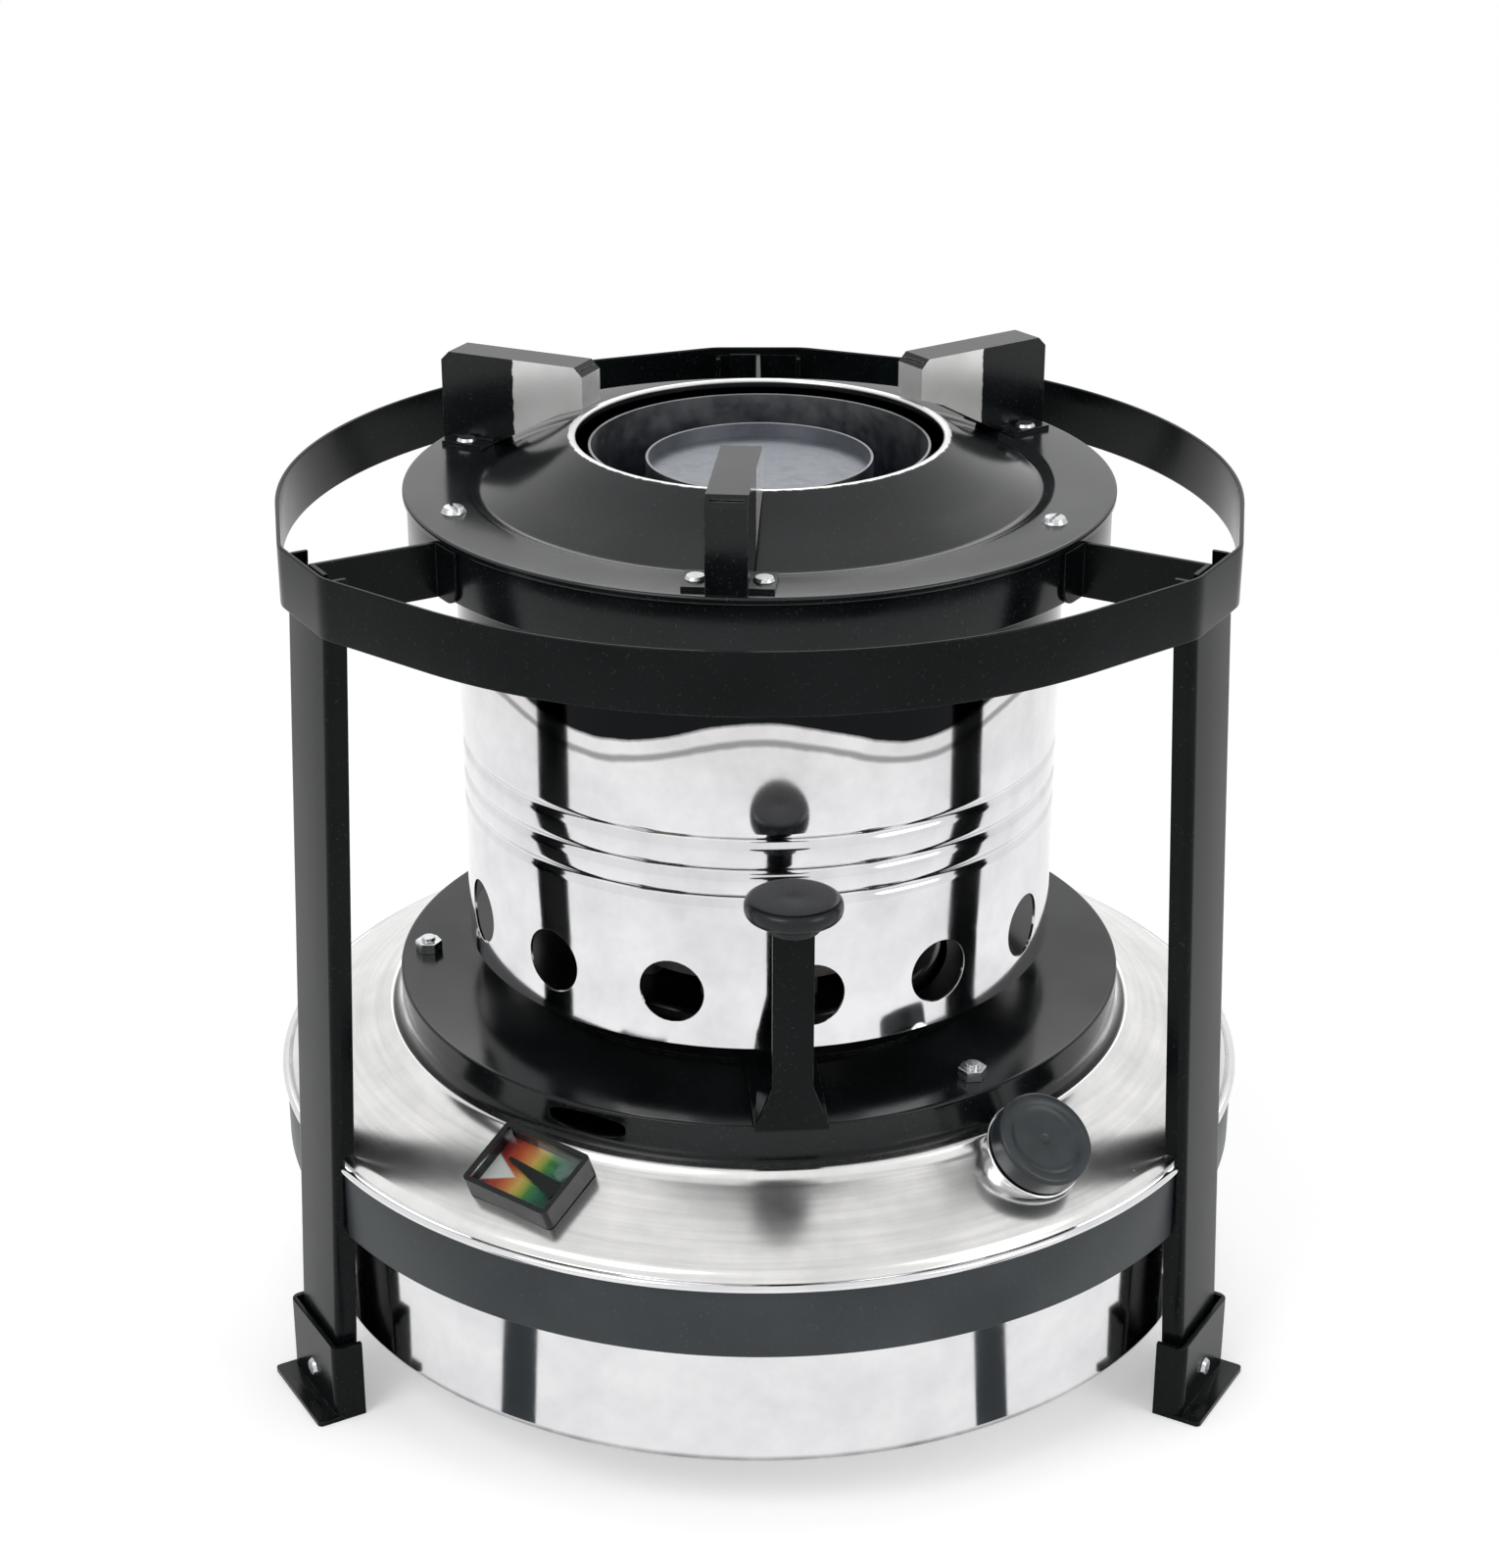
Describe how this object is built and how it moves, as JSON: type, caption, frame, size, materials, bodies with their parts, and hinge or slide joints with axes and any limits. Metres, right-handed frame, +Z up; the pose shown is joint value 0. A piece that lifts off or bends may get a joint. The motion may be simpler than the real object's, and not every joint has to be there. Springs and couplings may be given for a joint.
{
  "type": "kerosene wick stove",
  "caption": "Round kerosene stove on three legs: polished tank, wick burner in a steel drum with perforated flame cylinders, pot ring, raising lever, filler cap and fuel gauge.",
  "frame": {"origin": "on the stove's own vertical axis, at the floor that its three feet stand on", "axes": "+Z up; -Y towards the user, on the side of the wick lever; +X to the user's right"},
  "size_m": [0.2872, 0.2991, 0.282],
  "materials": {
    "black_enamel": "glossy black enamel",
    "satin_enamel": "satin dark grey enamel",
    "polished_steel": "polished plated steel",
    "bright_steel": "bright zinc plated steel",
    "burner_steel": "heat darkened steel",
    "wick_cotton": "braided cotton",
    "knob_plastic": "black moulded resin",
    "cap_plastic": "dark grey moulded plastic",
    "gasket_rubber": "black rubber",
    "gauge_plastic": "black moulded plastic",
    "dial_print": "printed dial, red over yellow to green",
    "clear_window": "clear window",
    "float_cork": "cork",
    "brass_wire": "brass"
  },
  "bodies": {
    "stove": {"leg_left": "satin_enamel", "leg_right": "satin_enamel", "leg_back": "satin_enamel", "foot_left": "satin_enamel", "foot_right": "satin_enamel", "foot_back": "satin_enamel", "foot_rivets": "bright_steel", "upper_ring": "black_enamel", "lower_ring": "satin_enamel", "collar": "black_enamel", "arm_left": "black_enamel", "arm_right": "black_enamel", "arm_back": "black_enamel", "burner_pan": "black_enamel", "pan_studs": "bright_steel", "tank_shell": "polished_steel", "tank_top": "polished_steel", "wick_housing": "black_enamel", "wick_tubes": "burner_steel", "filler_neck": "polished_steel", "gauge_housing": "gauge_plastic", "gauge_dial": "dial_print", "gauge_window": "clear_window", "gauge_bracket": "bright_steel"},
    "burner": {"top_plate": "black_enamel", "pot_support_left": "black_enamel", "pot_support_right": "black_enamel", "pot_support_front": "black_enamel", "support_rivets": "bright_steel", "plate_screws": "bright_steel", "drum": "polished_steel", "outer_flame_cylinder": "burner_steel", "inner_flame_cylinder": "burner_steel", "cross_rods": "bright_steel"},
    "lever": {"lever_ring": "black_enamel", "wick_lever": "black_enamel", "lever_rivets": "bright_steel", "lever_knob": "knob_plastic"},
    "carrier": {"wick_carrier": "bright_steel", "wicks": "wick_cotton"},
    "gasket": {"cap_gasket": "gasket_rubber"},
    "cap": {"filler_cap": "cap_plastic"},
    "float": {"float_arm": "brass_wire", "tank_float": "float_cork"},
    "pointer": {"gauge_pointer": "gauge_plastic"}
  },
  "joints": [
    {"name": "burner_lift", "type": "slide", "parent": "stove", "child": "burner", "axis": [0, 0, 1], "range_m": [0, 0.04]},
    {"name": "lever_turn", "type": "hinge", "parent": "stove", "child": "lever", "pos_m": [0, 0, 0.10805], "axis": [0, 0, 1], "range_deg": [-24, 16]},
    {"name": "wick_lift", "type": "slide", "parent": "stove", "child": "carrier", "axis": [0, 0, 1], "range_m": [-0.0096, 0.0064]},
    {"name": "cap_rise", "type": "slide", "parent": "stove", "child": "gasket", "axis": [0.3739, -0.4891, 0.788], "range_m": [0, 0.006]},
    {"name": "cap_turn", "type": "hinge", "parent": "gasket", "child": "cap", "pos_m": [0.07307, -0.09557, 0.09167], "axis": [0.3739, -0.4891, 0.788], "range_deg": [0, 720]},
    {"name": "float_swing", "type": "hinge", "parent": "stove", "child": "float", "pos_m": [-0.05131, -0.10536, 0.07234], "axis": [0.866, -0.5, 0], "range_deg": [0, 30]},
    {"name": "pointer_turn", "type": "hinge", "parent": "stove", "child": "pointer", "pos_m": [-0.05525, -0.11218, 0.08963], "axis": [-0.2073, -0.359, 0.91], "range_deg": [0, 30]}
  ],
  "couplings": [
    {"joint": "wick_lift", "follows": "lever_turn", "m_per_rad": 0.022918},
    {"joint": "cap_rise", "follows": "cap_turn", "m_per_rad": 0.00047746},
    {"joint": "pointer_turn", "follows": "float_swing", "ratio": 1}
  ]
}
